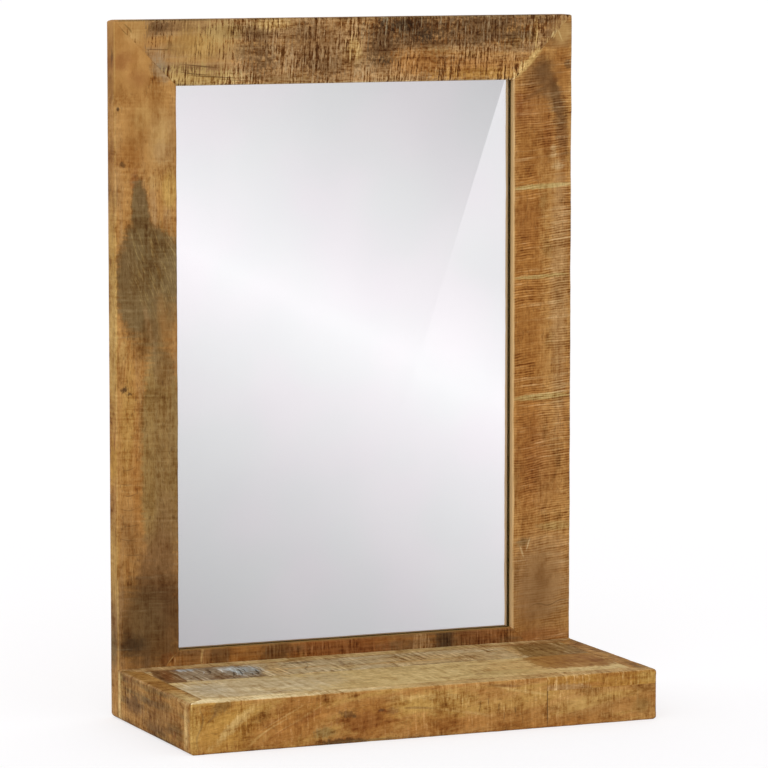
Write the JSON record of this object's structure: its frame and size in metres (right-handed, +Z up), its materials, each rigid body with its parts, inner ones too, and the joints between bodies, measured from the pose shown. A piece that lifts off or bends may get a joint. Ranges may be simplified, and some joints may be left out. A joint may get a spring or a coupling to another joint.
{
  "type": "mirror with shelf",
  "caption": "Upright wall mirror in a wide mitred frame of rough solid wood, with a deep hollow box shelf across its foot.",
  "frame": {"origin": "on the wall plane, at the middle of the frame's bottom edge", "axes": "+X to the right seen from the front, +Y into the wall, +Z up"},
  "size_m": [0.5, 0.225, 0.7],
  "materials": {
    "frame_wood": "rough-sawn mango wood in honey to dark brown, waxed, with worn arrises",
    "shelf_wood": "rough-sawn mango wood in honey to tan, waxed, with worn arrises",
    "shelf_top_wood": "planed and brushed mango wood, beige to brown with grey weathered patches",
    "plain_wood": "planed softwood, unfinished",
    "plywood": "sanded plywood, unfinished",
    "clear_glass": "flat, polished, unbevelled",
    "silver_coat": "silvered, grey paint behind",
    "packing": "brown corrugated sheet",
    "zinc_steel": "zinc-plated steel"
  },
  "bodies": {
    "root": {"frame_top_rail": "frame_wood", "frame_bottom_rail": "frame_wood", "frame_left_stile": "frame_wood", "frame_right_stile": "frame_wood", "frame_mitre_dowels": "plain_wood", "mirror_glass": "clear_glass", "mirror_silvering": "silver_coat", "packing_sheet": "packing", "backing_board": "plywood", "backing_screws": "zinc_steel", "left_keyhole_plate": "zinc_steel", "right_keyhole_plate": "zinc_steel", "keyhole_plate_screws": "zinc_steel", "shelf_front_board_left": "shelf_wood", "shelf_front_board_right": "shelf_wood", "shelf_front_strip": "shelf_wood", "shelf_left_board": "shelf_wood", "shelf_right_board": "shelf_wood", "shelf_back_board": "shelf_wood", "shelf_front_slat": "shelf_top_wood", "shelf_back_slat": "shelf_top_wood", "shelf_front_cleat": "plain_wood", "shelf_back_cleat": "plain_wood", "shelf_bearers": "plain_wood", "shelf_corner_blocks": "plain_wood", "shelf_bottom_panel": "plywood", "shelf_bottom_screws": "zinc_steel", "shelf_fixing_screws": "zinc_steel"}
  },
  "joints": []
}
